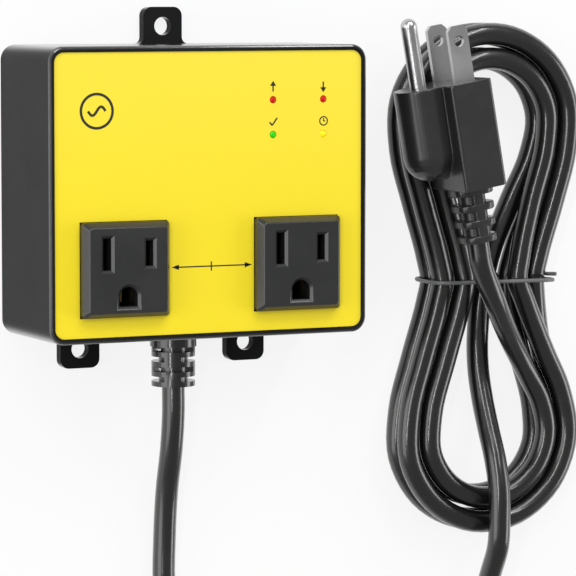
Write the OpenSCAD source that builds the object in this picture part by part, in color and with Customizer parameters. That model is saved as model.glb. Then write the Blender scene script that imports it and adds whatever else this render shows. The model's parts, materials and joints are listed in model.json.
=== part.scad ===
/* [Housing] */
// Width of the housing, left to right
case_w = 97; // [94:1:110]
// Height of the housing, bottom to top
case_h = 82; // [80:1:96]
// Depth of the housing, from its back to its front rim
case_d = 37; // [36:0.5:44]
// Radius of the housing's upright corners
case_corner = 4.4; // [3:0.2:5.6]
// Thickness of the moulded walls
wall = 2.2; // [1.8:0.1:2.6]
// Rounding of the front rim's outer edge
rim_round = 1; // [0.4:0.1:1.4]
// Width of the raised rim round the label
rim_w = 1.5; // [1.2:0.1:2]
// Height of the rim above the label
rim_h = 0.5; // [0.3:0.1:0.9]
// Thickness of the plastic face label
label_t = 0.5; // [0.3:0.1:0.8]
// Corner radius of the label
label_corner = 3; // [2:0.2:4]

/* [Back cover and ears] */
// Thickness of the back cover and its ears
back_t = 3; // [2.4:0.1:3.6]
// Width of each mounting ear
ear_w = 12; // [10.5:0.5:14]
// Reach of each ear beyond the housing
ear_reach = 10.5; // [9.5:0.5:13]
// Corner radius at the end of an ear
ear_corner = 2.6; // [1.5:0.1:4]
// Radius of the flared root of an ear
ear_flare = 1.8; // [0.8:0.1:2.4]
// Radius of the hole in an ear
ear_hole_r = 2.6; // [2:0.1:3]
// Distance of an ear's hole from the housing
ear_hole_out = 5; // [4:0.1:6]
// Distance between the two lower ears
ear_pitch = 52; // [44:1:60]

/* [Sockets] */
// Distance between the two sockets
socket_pitch = 52.8; // [50:0.2:56]
// Height of the sockets' centres above the housing's lower edge
socket_rise = 20.4; // [19:0.2:22]
// Width of a socket's face
face_w = 26; // [25:0.5:27]
// Height of a socket's face
face_h = 26.4; // [25.5:0.3:27.3]
// Reach of a socket's face in front of the label
face_proud = 4; // [2.5:0.1:5]
// Distance between the two blade slots
blade_pitch = 12.7; // [12.5:0.1:12.9]
// Distance from the blade slots' centres down to the ground hole
ground_drop = 11.86; // [11.6:0.02:12.1]
// Height of the blade slots' centres above the face's centre
slot_rise = 4.5; // [3.5:0.1:5]
// Width of the neutral slot
neutral_slot_w = 2.4; // [2.1:0.1:2.8]
// Height of the neutral slot
neutral_slot_h = 8.9; // [8.2:0.1:9.4]
// Width of the hot slot
hot_slot_w = 2.2; // [2:0.1:2.6]
// Height of the hot slot
hot_slot_h = 7.1; // [6.8:0.1:7.8]
// Radius of the ground hole's arch
ground_hole_r = 2.75; // [2.6:0.05:3]
// Width of the bevel round each slot
slot_bevel = 0.75; // [0.3:0.05:0.9]
// Depth of the socket block behind the front wall
block_depth = 14; // [12:0.5:15]

/* [Cord] */
// Diameter of the mains cord
cord_d = 6.6; // [6.2:0.1:7]
// Height of the cord's outlet above the back
outlet_z = 10; // [9.5:0.1:11]
// Diameter of the strain relief's rings
relief_d = 12.6; // [11:0.2:13]
// Diameter of the strain relief's collars
collar_d = 13.4; // [12.8:0.1:13.8]
// Number of rings on the strain relief
relief_rings = 4; // [3:1:5]

/* [Plug] */
// Length of the plug's body behind its face
plug_l = 31.5; // [29:0.5:35]
// Width of the plug's blade block
plug_block_w = 13.6; // [12:0.2:15]
// Thickness of the plug's blade block
plug_block_t = 21.6; // [20:0.2:22]
// Radius of the plug's rounded ground lobe
lobe_r = 7.4; // [6:0.1:8]
// Length of the blades in front of the face
blade_l = 16.5; // [15:0.5:18]
// Width of a blade
blade_w = 6.35; // [6.2:0.05:6.6]
// Thickness of a blade
blade_t = 1.5; // [1.4:0.05:1.6]
// Length of the ground pin in front of the face
pin_l = 20.6; // [18:0.2:22]
// Radius of the ground pin
pin_r = 2.4; // [2.3:0.05:2.5]

/* [Electronics] */
// Distance from the circuit board's side edges to the housing's sides
pcb_side_gap = 9; // [8.5:0.5:10]
// Height of the circuit board
pcb_h = 35; // [33:0.5:36]
// Thickness of the circuit board
pcb_t = 1.6; // [1:0.1:2]
// Length of the board's posts behind the front wall
pcb_post = 8.2; // [7:0.2:9]
// Radius of a signal lamp's visible lens
lamp_r = 0.95; // [0.7:0.05:1.2]
// Length of the relay
relay_l = 19.2; // [19.2:0.2:21]
// Width of the relay
relay_w = 15.4; // [13:0.2:17]
// Height of the relay
relay_h = 15.2; // [14.6:0.2:17]
// Angle through which the relay's armature swings
armature_swing = 2.5; // [1.5:0.1:2.8]

/* [Hidden] */

// Overrun of a cut past the face it opens
over = 0.5;
// Thickness of a slice in a lofted hull
slice = 0.01;
// Clearance between moulded pieces that slide together
fit = 0.15;
// Clearance round a screw's shank
screw_fit = 0.05;
// Faces of round pieces
fine = 64;
// Faces of the circles inside a hull
hull_faces = 32;

// Levels through the front of the housing
label_z = case_d - rim_h - label_t;
label_top = case_d - rim_h;
front_in = label_z - wall;
face_top = label_top + face_proud;
socket_y = socket_rise - case_h / 2;
slot_y = socket_y + slot_rise;
ground_y = slot_y - ground_drop;

// Screws: shank radius, head radius, head height, point length
screw_r = 1.3;
screw_head_r = 2.6;
screw_head_h = 1.6;
small_screw_r = 1.1;
small_head_r = 2.2;
small_head_h = 1.4;
boss_wall = 1.7;
boss_r = screw_r + boss_wall;
boss_sink = 0.5;
rim_step = 22.5;
boss_x = case_w / 2 - wall - boss_r + boss_sink;
boss_y = case_h / 2 - wall - boss_r + boss_sink;
case_screw_l = 12;
post_wall = 1.4;
post_r = small_screw_r + post_wall;
small_screw_l = 6;

// Socket block: tabs behind the wall, cells and contact bars
tab_t = 2;
tab_reach = 1.6;
face_t = 3.6;
face_edge = 0.6;
blade_cell = [6, 11.2];
ground_cell = 8;
bevel_depth = 0.7;
bar_t = 0.8;
bar_w = 3;
bar_offset = 2.5;
leaf_t = 0.6;
leaf_gap = 1.3;
leaf_l = 7;
leaf_lift = 1;
leaf_tip = 8.5;
ground_leaf_gap = 4.3;
ground_leaf_l = 5;
block_back = front_in - block_depth;
bar_back = block_back - bar_t;
retainer_t = 2;
retainer_h = 22;
retainer_back = bar_back - retainer_t;
post_gap = 0.6;
outer_post_x = socket_pitch / 2 + face_w / 2 + fit + post_gap + post_r;
inner_post_x = socket_pitch / 2 - face_w / 2 - fit - post_gap - post_r;
inner_post_y = (slot_y - bar_offset - bar_w / 2 + ground_y + bar_w / 2) / 2;
post_places = [for (side = [-1, 1]) each
  [[side * outer_post_x, socket_y], [side * inner_post_x, inner_post_y]]];

// Circuit board and what stands on its back
pcb_w = case_w - 2 * pcb_side_gap;
pcb_front = front_in - pcb_post;
pcb_back = pcb_front - pcb_t;
pcb_margin = 2.6;
pcb_y = case_h / 2 - wall - pcb_margin - pcb_h / 2;
parts_home = 18.7;
parts_shift = pcb_y - parts_home;
pcb_post_in = 3.4;
pcb_posts = [for (side = [-1, 1], end = [-1, 1])
  [side * (pcb_w / 2 - pcb_post_in), pcb_y + end * (pcb_h / 2 - pcb_post_in)]];
lamps_from_side = [29.3, 13.6];
lamps_from_top = [15.4, 25.2];
lamp_x = [for (d = lamps_from_side) case_w / 2 - d];
lamp_y = [for (d = lamps_from_top) case_h / 2 - d];
lamp_body_r = 1.5;
lamp_body_l = 2.6;
lamp_leg = 0.5;
lamp_leg_gap = 1.3;
lamp_proud = 0.3;
lamp_gap = 0.1;
lens_share = 1.25;
lens_r = lamp_r * lens_share;

// Relay, built downwards from the board
relay_x = -23;
relay_home = 17.5;
relay_y = relay_home + parts_shift;
relay_base_t = 1.6;
relay_wall = 0.7;
relay_low = pcb_back - relay_h;
core_r = 1.6;
bobbin_r = 4.6;
bobbin_wall = 0.6;
winding_r = 4.1;
coil_x = -1.6;
yoke_t = 1;
yoke_w = 9;
yoke_clear = 0.5;
yoke_in = coil_x + bobbin_r + yoke_clear;
pole_rise = 3.6;
pole_z = relay_low + pole_rise;
pole_gap = 0.5;
armature_t = 1;
armature_w = 8;
armature_reach = 10;
hinge_x = yoke_in + yoke_t / 2;
hinge_gap = 0.1;
knuckle_rim = 0.1;
knuckle_r = armature_t / 2 + knuckle_rim;
hinge_z = pole_z - pole_gap - armature_t / 2;
leaf_spring_t = 0.3;
leaf_spring_w = 4;
leaf_spring_l = 3.4;
contact_r = 1;
contact_t = 0.6;
leaf_lap = 1.6;
contact_x = hinge_x - armature_reach - leaf_spring_l + leaf_lap;
contact_travel = (hinge_x - contact_x) * sin(armature_swing);
contact_air = 0.15;
contact_rest_gap = contact_travel + contact_air;
terminal_t = 0.8;
terminal_w = 3.4;
terminal_x = -7.6;

// Other parts on the board, as places and sizes
tab_places = [[-30, 5], [-22, 5], [-14, 5]];
tab_size = [0.8, 4.8, 8];
varistor_at = [-6, 25];
varistor_r = 7;
varistor_t = 4.6;
varistor_stand = 1.6;
lead_r = 0.4;
lead_pitch = 7.5;
film_at = [11, 26];
film_size = [18, 7, 12];
can_at = [28, 29];
can_r = 4;
can_h = 12;
chip_at = [22, 15];
chip_size = [19, 6.4, 3.3];
chip_stand = 0.6;
chip_pins = 7;
chip_pin_pitch = 2.54;
chip_pin = [0.5, 0.3];
fuse_at = [6, 7];
fuse_r = 2.6;
fuse_l = 20;
fuse_cap_l = 5;
fuse_stand = 1;
clip_t = 0.5;
clip_w = 3;
diode_at = [[24, 6], [28, 6], [32, 6]];
diode_r = 1.35;
diode_l = 5;
resistor_at = [[-10.5, 12], [-7, 12], [1, 16.4]];
resistor_r = 1.1;
resistor_l = 6;
small_stand = 0.7;
bend_reach = 1.4;

// Strain relief of the housing
groove_r = 5;
inner_collar_t = 1.5;
outer_collar_t = 4.5;
relief_slot = 1.4;
relief_ring = 1.45;
relief_core_r = 4.2;
relief_web = 4.8;
relief_turn = 25;
relief_end_y = -case_h / 2 - outer_collar_t - relief_rings * (relief_slot + relief_ring);
saddle_share = 0.5;
lip_h = 2;
lip_t = 1.2;
lip_gap = 1;

// Inner wires: radius, faces and the points of their routes
wire_r = 1.2;
wire_end = 3.6;
wire_faces = 6;
relief_in_y = -case_h / 2 + wall + fit + inner_collar_t;
wire_start_pitch = 2.7;
line_route = [[-5, -31, 8.6], [-10, -21, 7.4], [-17, -8, 7.6], [-21, 0, 9]];
switched_route = [[-29.6, 2, 9.6], [-26, -5, 8.4], [-18, -13, 10], [-9, -17.4, 11.4]];
neutral_route = [[4.4, -32, 8.6], [5, -24, 8.4], [5, -17.4, 10.6]];

// Hank: centre, reach to the folds' centres, folds, lanes and lift at the waist
hank_x = 103;
hank_y = -30;
hank_reach = 46;
hank_fold_r = 20;
strand_gap = 0.75;
layer_gap = 0.45;
strand_step = cord_d + strand_gap;
layer_step = cord_d + layer_gap;
lean_wide = 25.8;
lean_narrow = 15.3;
waist_soft = 3;
climb_reach = 23;
waist_levels = [-climb_reach, -6, 0, 6, climb_reach];
tie_r = 0.6;
tie_air = 0.3;
tie_lift = 2 * tie_r + tie_air;
hank_sides = 6;
fold_rings = 7;
// Lane, layer and leans of each turn: lane, layer, lean going up, lean coming back
turns = [[0, 0, lean_wide, lean_narrow], [1, 0, lean_wide, lean_narrow],
  [1, 1, lean_narrow, lean_wide], [0, 1, lean_narrow, lean_wide]];

// Route of the lead, from the strain relief to the hank
lead_sides = 8;
lead_rings_per_span = 2;
lead_points = [[0, -65, 10], [0, -75, 8.6], [0, -88, 5.2], [0, -102, 3.4], [0, -118, 3.3],
  [3, -134, 3.3], [13, -150, 3.3], [30, -161, 3.3], [52, -165, 3.3], [74, -161, 3.3],
  [91, -150, 3.3], [100, -138, 4], [103, -128, 7.4], [103, -118, 13], [103, -109.5, 17.2],
  [103, -101, 17.9], [103, -92.5, 17.6], [103, -84, 15], [103, -75, 10.6], [103, -66, 6.6],
  [103, -58, 4.2]];

// Place of the plug's face and its lean
plug_at = [83.1, 29.8, 24.65];
plug_lean = 10;
plug_edge = 1.6;
lobe_x = -11.86;
lobe_l = 20;
plug_relief_l = 16.5;
plug_rib_count = 4;
plug_rib_t = 2.3;
plug_relief_w = 12.4;
plug_relief_end_w = 10.4;
plug_relief_depth = 10;
plug_relief_core_r = 4.1;
plug_relief_edge = 1.4;
plug_band = 3.6;
blade_root = 8;
blade_hole_r = 1.6;
blade_hole_at = 11.9;
blade_tip_share = 0.22;
// Tail: share of the way and height of each point, and the pull of its two ends
tail_steps = [[0.12, 10.6], [0.26, 12.4], [0.4, 15.3], [0.54, 19], [0.68, 22.4]];
tail_pull = 64;

// A level rounded slab, its corner at the middle of its base
module slab(w, h, corner, t, faces = fine) {
  linear_extrude(t) {
    square([w - 2 * corner, h], center = true);
    square([w, h - 2 * corner], center = true);
    for (x = [-1, 1], y = [-1, 1])
      translate([x * (w / 2 - corner), y * (h / 2 - corner)]) circle(corner, $fn = faces);
  }
}

// A box centred on X and Y, standing on z
module block(w, h, t, z) {
  translate([-w / 2, -h / 2, z]) cube([w, h, t]);
}

// A cylinder between two levels
module rod(r, low, high) {
  translate([0, 0, low]) cylinder(h = high - low, r = r, $fn = fine);
}

// A screw with its head at the back and its point towards the front
module screw(shank, head, head_h, length) {
  translate([0, 0, -head_h]) cylinder(h = head_h, r = head, $fn = hull_faces);
  cylinder(h = length, r = shank - screw_fit, $fn = hull_faces);
}

// A path rounded through its points
function blend(a, b, c, d, t) = 0.5 * (2 * b + (c - a) * t + (2 * a - 5 * b + 4 * c - d) * t * t
  + (3 * b - a - 3 * c + d) * t * t * t);
function smooth_path(p, count) = let (last = len(p) - 1)
  concat([for (i = [0:last - 1], k = [0:count - 1])
    blend(p[max(i - 1, 0)], p[i], p[i + 1], p[min(i + 2, last)], k / count)], [p[last]]);
function unit(v) = v / norm(v);
function tangent(p, i) = i == 0 ? unit(p[1] - p[0])
  : i == len(p) - 1 ? unit(p[i] - p[i - 1])
  : unit(unit(p[i + 1] - p[i]) + unit(p[i] - p[i - 1]));
function across(v, t) = unit(v - (v * t) * t);
function normals(p, first) = [for (i = 0, n = across(first, tangent(p, 0)); i < len(p);
  i = i + 1, n = i < len(p) ? across(n, tangent(p, i)) : n) n];

// A tube of flat facets along a path
module tube(p, r, sides, first = [0, 0, 1]) {
  n = normals(p, first);
  rings = [for (i = [0:len(p) - 1], k = [0:sides - 1])
    let (t = tangent(p, i), b = cross(t, n[i]), a = 360 * (k + 0.5) / sides)
    p[i] + r * (cos(a) * n[i] + sin(a) * b)];
  walls = [for (i = [0:len(p) - 2], k = [0:sides - 1])
    let (a = i * sides + k, b = i * sides + (k + 1) % sides)
    each [[a, b, b + sides], [a, b + sides, a + sides]]];
  low = [for (k = [sides - 2:-1:1]) [0, k + 1, k]];
  top = (len(p) - 1) * sides;
  high = [for (k = [1:sides - 2]) [top, top + k, top + k + 1]];
  polyhedron([for (v = rings) v], [for (f = concat(walls, low, high)) [f[0], f[2], f[1]]]);
}

// Front housing: a deep shell with a rimmed front, open at the back
module case_outline(inset, t, faces = fine) {
  slab(case_w - 2 * inset, case_h - 2 * inset, case_corner - inset, t, faces);
}

module housing_shell() {
  difference() {
    union() {
      translate([0, 0, back_t]) case_outline(0, case_d - rim_round - back_t);
      hull()
        for (a = [0:rim_step:90])
          translate([0, 0, case_d - rim_round + rim_round * sin(a) - slice])
            case_outline(rim_round * (1 - cos(a)), slice, hull_faces);
    }
    translate([0, 0, label_z])
      slab(case_w - 2 * rim_w, case_h - 2 * rim_w, label_corner, rim_h + label_t + over);
    translate([0, 0, back_t - over])
      slab(case_w - 2 * wall, case_h - 2 * wall, case_corner - wall, front_in - back_t + over);
  }
}

module at_sockets() {
  for (side = [-1, 1]) translate([side * socket_pitch / 2, socket_y, 0]) children();
}

module at_lamps() {
  for (x = lamp_x, y = lamp_y) translate([x, y, 0]) children();
}

module at_bosses() {
  for (x = [-1, 1], y = [-1, 1]) translate([x * boss_x, y * boss_y, 0]) children();
}

module front_housing() {
  color("#26272a") difference() {
    union() {
      housing_shell();
      at_bosses() rod(boss_r, back_t, front_in + over);
      for (p = post_places) translate(p) rod(post_r, bar_back, front_in + over);
      for (p = pcb_posts) translate(p) rod(post_r, pcb_front, front_in + over);
    }
    at_sockets() block(face_w + 2 * fit, face_h + 2 * fit, wall + 2 * over, front_in - over);
    at_lamps() rod(lamp_r + lamp_gap, front_in - over, label_z + over);
    at_bosses() rod(screw_r, back_t - over, back_t + case_screw_l);
    for (p = post_places) translate(p) rod(small_screw_r, bar_back - over, bar_back + small_screw_l);
    for (p = pcb_posts) translate(p) rod(small_screw_r, pcb_front - over, pcb_front + small_screw_l);
    outlet_notch();
  }
}

// Notch for the strain relief, open to the back
module outlet_notch() {
  translate([0, -case_h / 2 + wall / 2, 0]) {
    translate([0, 0, outlet_z]) rotate([90, 0, 0])
      cylinder(h = wall + 2 * over, r = groove_r + fit, center = true, $fn = fine);
    block(2 * (groove_r + fit), wall + 2 * over, outlet_z - back_t + over, back_t - over);
  }
}

// Back cover: a plate with three ears, lips and the strain relief's saddle
module ear(x, side) {
  root = case_h / 2;
  translate([x, side * root, 0]) scale([1, side, 1]) linear_extrude(back_t) difference() {
    union() {
      translate([-ear_w / 2, -case_corner]) square([ear_w, case_corner + ear_reach - ear_corner]);
      translate([-ear_w / 2 + ear_corner, 0]) square([ear_w - 2 * ear_corner, ear_reach]);
      for (s = [-1, 1])
        translate([s * (ear_w / 2 - ear_corner), ear_reach - ear_corner]) circle(ear_corner, $fn = fine);
      translate([-ear_w / 2 - ear_flare, -ear_flare]) square([ear_w + 2 * ear_flare, 2 * ear_flare]);
    }
    for (s = [-1, 1]) translate([s * (ear_w / 2 + ear_flare), ear_flare]) circle(ear_flare, $fn = fine);
    translate([0, ear_hole_out]) circle(ear_hole_r, $fn = fine);
  }
}

module back_cover() {
  lip_x = case_w / 2 - wall - fit - lip_t / 2;
  lip_y = case_h / 2 - wall - fit - lip_t / 2;
  lip_len_x = 2 * (boss_x - boss_r - lip_gap);
  lip_len_y = 2 * (boss_y - boss_r - lip_gap);
  low_lip = boss_x - boss_r - collar_d / 2 - 2 * lip_gap;
  saddle_h = (outlet_z - back_t) * saddle_share;
  color("#222326") difference() {
    union() {
      case_outline(0, back_t);
      ear(0, 1);
      for (side = [-1, 1]) ear(side * ear_pitch / 2, -1);
      for (side = [-1, 1]) {
        translate([side * lip_x, 0, 0]) block(lip_t, lip_len_y, lip_h, back_t);
        translate([side * (collar_d / 2 + lip_gap + low_lip / 2), -lip_y, 0])
          block(low_lip, lip_t, lip_h, back_t);
      }
      translate([0, lip_y, 0]) block(lip_len_x, lip_t, lip_h, back_t);
      translate([0, -case_h / 2 + wall / 2, 0]) block(2 * groove_r, wall, saddle_h, back_t);
    }
    translate([0, -case_h / 2 + wall / 2, outlet_z]) rotate([90, 0, 0])
      cylinder(h = wall + 2 * over, r = groove_r + fit, center = true, $fn = fine);
    at_bosses() {
      rod(screw_r + 2 * screw_fit, -over, back_t + over);
      rod(screw_head_r + fit, -over, screw_head_h);
    }
  }
}

// Face label with windows for the sockets and the lamps
module face_label() {
  color("#f9e337") difference() {
    translate([0, 0, label_z])
      slab(case_w - 2 * rim_w - 2 * fit, case_h - 2 * rim_w - 2 * fit, label_corner - fit, label_t);
    at_sockets() block(face_w + 2 * fit, face_h + 2 * fit, label_t + 2 * over, label_z - over);
    at_lamps() rod(lamp_r + lamp_gap, label_z - over, label_top + over);
  }
}

// Outline of the ground hole: an arch over a flat foot
module ground_shape(r) {
  circle(r, $fn = hull_faces);
  translate([-r, -r]) square([2 * r, r]);
}

// Bevelled way in, lofted from the face down to the slot
module slot_entry(size) {
  hull() {
    block(size[0] + 2 * slot_bevel, size[1] + 2 * slot_bevel, over, face_top);
    block(size[0], size[1], slice, face_top - bevel_depth);
  }
}

module ground_entry() {
  hull() {
    translate([0, 0, face_top]) linear_extrude(over) ground_shape(ground_hole_r + slot_bevel);
    translate([0, 0, face_top - bevel_depth]) linear_extrude(slice) ground_shape(ground_hole_r);
  }
}

// Socket moulding: face, block, tabs, three cells open at the back
module receptacle() {
  low = face_top - face_t;
  slots = [[-blade_pitch / 2, [neutral_slot_w, neutral_slot_h]],
    [blade_pitch / 2, [hot_slot_w, hot_slot_h]]];
  difference() {
    union() {
      block(face_w, face_h, face_top - face_edge - block_back, block_back);
      hull() {
        block(face_w, face_h, slice, face_top - face_edge - slice);
        block(face_w - 2 * face_edge, face_h - 2 * face_edge, slice, face_top - slice);
      }
      block(face_w, face_h + 2 * (fit + tab_reach), tab_t, front_in - tab_t);
    }
    for (s = slots) translate([s[0], slot_rise, 0]) {
      block(s[1][0], s[1][1], face_t + over, low - over);
      slot_entry(s[1]);
      block(blade_cell[0], blade_cell[1], low - block_back + over, block_back - over);
    }
    translate([0, slot_rise - ground_drop, 0]) {
      translate([0, 0, low - over]) linear_extrude(face_t + over) ground_shape(ground_hole_r);
      ground_entry();
      block(ground_cell, ground_cell, low - block_back + over, block_back - over);
    }
  }
}

module left_receptacle() {
  color("#333436") translate([-socket_pitch / 2, socket_y, 0]) receptacle();
}

module right_receptacle() {
  color("#333436") translate([socket_pitch / 2, socket_y, 0]) receptacle();
}

// Contact strip: one bar under both sockets with a pair of leaves in each
module contact_strip(x, y, bar_y, gap, length) {
  bar_end = socket_pitch / 2 + abs(x) + gap / 2 + leaf_t;
  tip = block_back + leaf_tip;
  translate([0, bar_y, 0]) block(2 * bar_end, bar_w, bar_t, bar_back);
  for (socket = [-1, 1], side = [-1, 1])
    translate([socket * socket_pitch / 2 + x + side * (gap + leaf_t) / 2, 0, 0]) {
      translate([0, y, 0]) block(leaf_t, length, tip - block_back - leaf_lift, block_back + leaf_lift);
      translate([0, (bar_y + y) / 2, 0])
        block(leaf_t, length - abs(bar_y - y), leaf_lift + slice, block_back - slice);
    }
}

module neutral_contact_strip() {
  color("#c8a24a") contact_strip(-blade_pitch / 2, slot_y, slot_y + bar_offset, leaf_gap, leaf_l);
}

module hot_contact_strip() {
  color("#c8a24a") contact_strip(blade_pitch / 2, slot_y, slot_y - bar_offset, leaf_gap, leaf_l);
}

module ground_contact_strip() {
  color("#c8a24a") contact_strip(0, ground_y, ground_y, ground_leaf_gap, ground_leaf_l);
}

// Retainer plate that holds one socket and the strips against the housing
module retainer() {
  outer = outer_post_x + post_r;
  inner = inner_post_x - post_r;
  difference() {
    translate([inner, socket_y - retainer_h / 2, retainer_back])
      cube([outer - inner, retainer_h, retainer_t]);
    for (p = [[outer_post_x, socket_y], [inner_post_x, inner_post_y]])
      translate(p) rod(small_screw_r + screw_fit, retainer_back - over, bar_back + over);
  }
}

module left_retainer() {
  color("#6d6f72") mirror([1, 0, 0]) retainer();
}

module right_retainer() {
  color("#6d6f72") retainer();
}

module retainer_screws() {
  color("#b9bcc0")
    for (p = post_places)
      translate([p[0], p[1], retainer_back])
        screw(small_screw_r, small_head_r, small_head_h, retainer_t + small_screw_l - 1);
}

module case_screws() {
  color("#b9bcc0") at_bosses() translate([0, 0, screw_head_h])
    screw(screw_r, screw_head_r, screw_head_h, back_t - screw_head_h + case_screw_l - 1);
}

// Circuit board, its screws and its three spade tabs
module circuit_board() {
  color("#2f6b3a") difference() {
    translate([0, pcb_y, 0]) block(pcb_w, pcb_h, pcb_t, pcb_back);
    for (p = pcb_posts) translate(p) rod(small_screw_r + screw_fit, pcb_back - over, pcb_front + over);
  }
}

module board_screws() {
  color("#b9bcc0")
    for (p = pcb_posts)
      translate([p[0], p[1], pcb_back])
        screw(small_screw_r, small_head_r, small_head_h, pcb_t + small_screw_l - 1);
}

module board_terminals() {
  color("#c9ccd0")
    for (p = tab_places)
      on_board(p) block(tab_size[0], tab_size[1], tab_size[2], pcb_back - tab_size[2]);
}

// Signal lamp: lens, body behind the wall and two legs to the board
module lamp() {
  body_low = front_in - lamp_gap - lamp_body_l;
  rod(lamp_body_r, body_low, front_in - lamp_gap);
  rod(lamp_r, front_in - lamp_gap - slice, label_top + lamp_proud - lamp_r / 2);
  intersection() {
    translate([0, 0, label_top + lamp_proud - lens_r]) sphere(lens_r, $fn = hull_faces);
    rod(lamp_r, label_top + lamp_proud - lamp_r / 2 - slice, label_top + lamp_proud + over);
  }
  for (s = [-1, 1])
    translate([s * lamp_leg_gap / 2, 0, 0])
      block(lamp_leg, lamp_leg, body_low - pcb_front + slice, pcb_front);
}

module high_voltage_lamp() { color("#e02a22") translate([lamp_x[0], lamp_y[0], 0]) lamp(); }
module low_voltage_lamp() { color("#e02a22") translate([lamp_x[1], lamp_y[0], 0]) lamp(); }
module normal_lamp() { color("#25c83a") translate([lamp_x[0], lamp_y[1], 0]) lamp(); }
module delay_lamp() { color("#f0d020") translate([lamp_x[1], lamp_y[1], 0]) lamp(); }

// Relay: base, cover, coil, iron and contacts
module at_relay() {
  translate([relay_x, relay_y, 0]) children();
}

module relay_base() {
  color("#3a3b3e") at_relay()
    block(relay_l, relay_w, relay_base_t, pcb_back - relay_base_t);
}

module relay_cover() {
  top = pcb_back - relay_base_t;
  color("#2a5fa8") at_relay() difference() {
    block(relay_l, relay_w, top - relay_low, relay_low);
    block(relay_l - 2 * relay_wall, relay_w - 2 * relay_wall,
      top - relay_low - relay_wall + over, relay_low + relay_wall);
  }
}

module relay_bobbin() {
  low = pole_z + bobbin_wall;
  high = pcb_back - relay_base_t - yoke_t;
  color("#e6e2d6") at_relay() translate([coil_x, 0, 0]) difference() {
    union() {
      rod(bobbin_r, low, low + bobbin_wall);
      rod(bobbin_r, high - bobbin_wall, high);
      rod(core_r + bobbin_wall, low, high);
    }
    rod(core_r, low - over, high + over);
  }
}

module relay_winding() {
  low = pole_z + 2 * bobbin_wall;
  high = pcb_back - relay_base_t - yoke_t - bobbin_wall;
  color("#a8562a") at_relay() translate([coil_x, 0, 0]) difference() {
    rod(winding_r, low, high);
    rod(core_r + bobbin_wall, low - over, high + over);
  }
}

module relay_core() {
  color("#9a9da1") at_relay() translate([coil_x, 0, 0]) {
    rod(core_r, pole_z, pcb_back - relay_base_t - yoke_t);
    rod(core_r + bobbin_wall, pole_z, pole_z + bobbin_wall);
  }
}

module relay_yoke() {
  foot_z = pcb_back - relay_base_t - yoke_t;
  foot_l = yoke_in + yoke_t - coil_x + core_r;
  edge_z = hinge_z + knuckle_r + hinge_gap;
  color("#8c8f93") at_relay() {
    translate([yoke_in + yoke_t / 2, 0, 0]) block(yoke_t, yoke_w, foot_z - edge_z + slice, edge_z);
    translate([yoke_in + yoke_t - foot_l / 2, 0, 0]) block(foot_l, yoke_w, yoke_t, foot_z);
  }
}

// Armature: an iron flap that pivots on the yoke's edge
module relay_armature() {
  color("#a6a9ad") at_relay() difference() {
    union() {
      translate([hinge_x - armature_reach / 2, 0, 0])
        block(armature_reach, armature_w, armature_t, hinge_z - armature_t / 2);
      translate([hinge_x, 0, hinge_z]) rotate([90, 0, 0])
        cylinder(h = armature_w, r = knuckle_r, center = true, $fn = hull_faces);
    }
    translate([hinge_x - armature_reach + leaf_spring_w / 2, 0, 0])
      rod(lead_r, hinge_z - armature_t, hinge_z + armature_t);
  }
}

// Spring leaf under the armature, with its rivet and the moving contact
module relay_contact_leaf() {
  under = hinge_z - armature_t / 2;
  far = contact_x - contact_r;
  near = hinge_x - armature_reach + leaf_spring_w;
  color("#c98a4a") at_relay() {
    translate([(far + near) / 2, 0, 0])
      block(near - far, leaf_spring_w, leaf_spring_t, under - leaf_spring_t);
    translate([hinge_x - armature_reach + leaf_spring_w / 2, 0, 0])
      rod(lead_r - screw_fit, under - slice, hinge_z + armature_t / 2);
    translate([contact_x, 0, 0]) rod(contact_r, under - slice, under + contact_t);
  }
}

// Fixed contact: a bent terminal that stands beside the coil
module relay_fixed_contact() {
  meet = hinge_z - armature_t / 2 + contact_t + contact_rest_gap;
  shelf = meet + contact_t;
  foot = pcb_back - relay_base_t;
  color("#c98a4a") at_relay() {
    translate([contact_x, 0, 0]) rod(contact_r, meet, shelf + slice);
    translate([(contact_x + terminal_x) / 2, 0, 0])
      block(abs(terminal_x - contact_x) + terminal_t + contact_r, terminal_w, terminal_t, shelf);
    translate([terminal_x, 0, 0]) block(terminal_t, terminal_w, foot - shelf, shelf);
  }
}

// Parts that stand on the back of the board
module on_board(place) {
  translate([place[0], place[1] + parts_shift, 0]) children();
}

module varistor() {
  z = pcb_back - varistor_stand - varistor_r;
  color("#2b57b5") on_board(varistor_at) {
    translate([0, 0, z]) rotate([0, 90, 0])
      cylinder(h = varistor_t, r = varistor_r, center = true, $fn = fine);
    for (s = [-1, 1])
      translate([0, s * lead_pitch / 2, 0]) rod(lead_r, pcb_back - varistor_stand - varistor_r / 2, pcb_back);
  }
}

module film_capacitor() {
  color("#d9c23a") on_board(film_at)
    block(film_size[0], film_size[1], film_size[2], pcb_back - film_size[2]);
}

module smoothing_capacitor() {
  color("#23304f") on_board(can_at) {
    rod(can_r, pcb_back - can_h, pcb_back - 2 * bobbin_wall);
    rod(can_r - bobbin_wall, pcb_back - 2 * bobbin_wall - slice, pcb_back);
  }
}

module control_chip() {
  color("#242424") on_board(chip_at) {
    block(chip_size[0], chip_size[1], chip_size[2], pcb_back - chip_stand - chip_size[2]);
    for (i = [0:chip_pins - 1], s = [-1, 1])
      translate([(i - (chip_pins - 1) / 2) * chip_pin_pitch, s * (chip_size[1] + chip_pin[1]) / 2, 0])
        block(chip_pin[0], chip_pin[1] + 2 * slice, chip_stand + chip_size[2] / 2,
          pcb_back - chip_stand - chip_size[2] / 2);
  }
}

module at_fuse() {
  on_board(fuse_at) translate([0, 0, pcb_back - fuse_stand - fuse_r]) rotate([0, 90, 0]) children();
}

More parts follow.
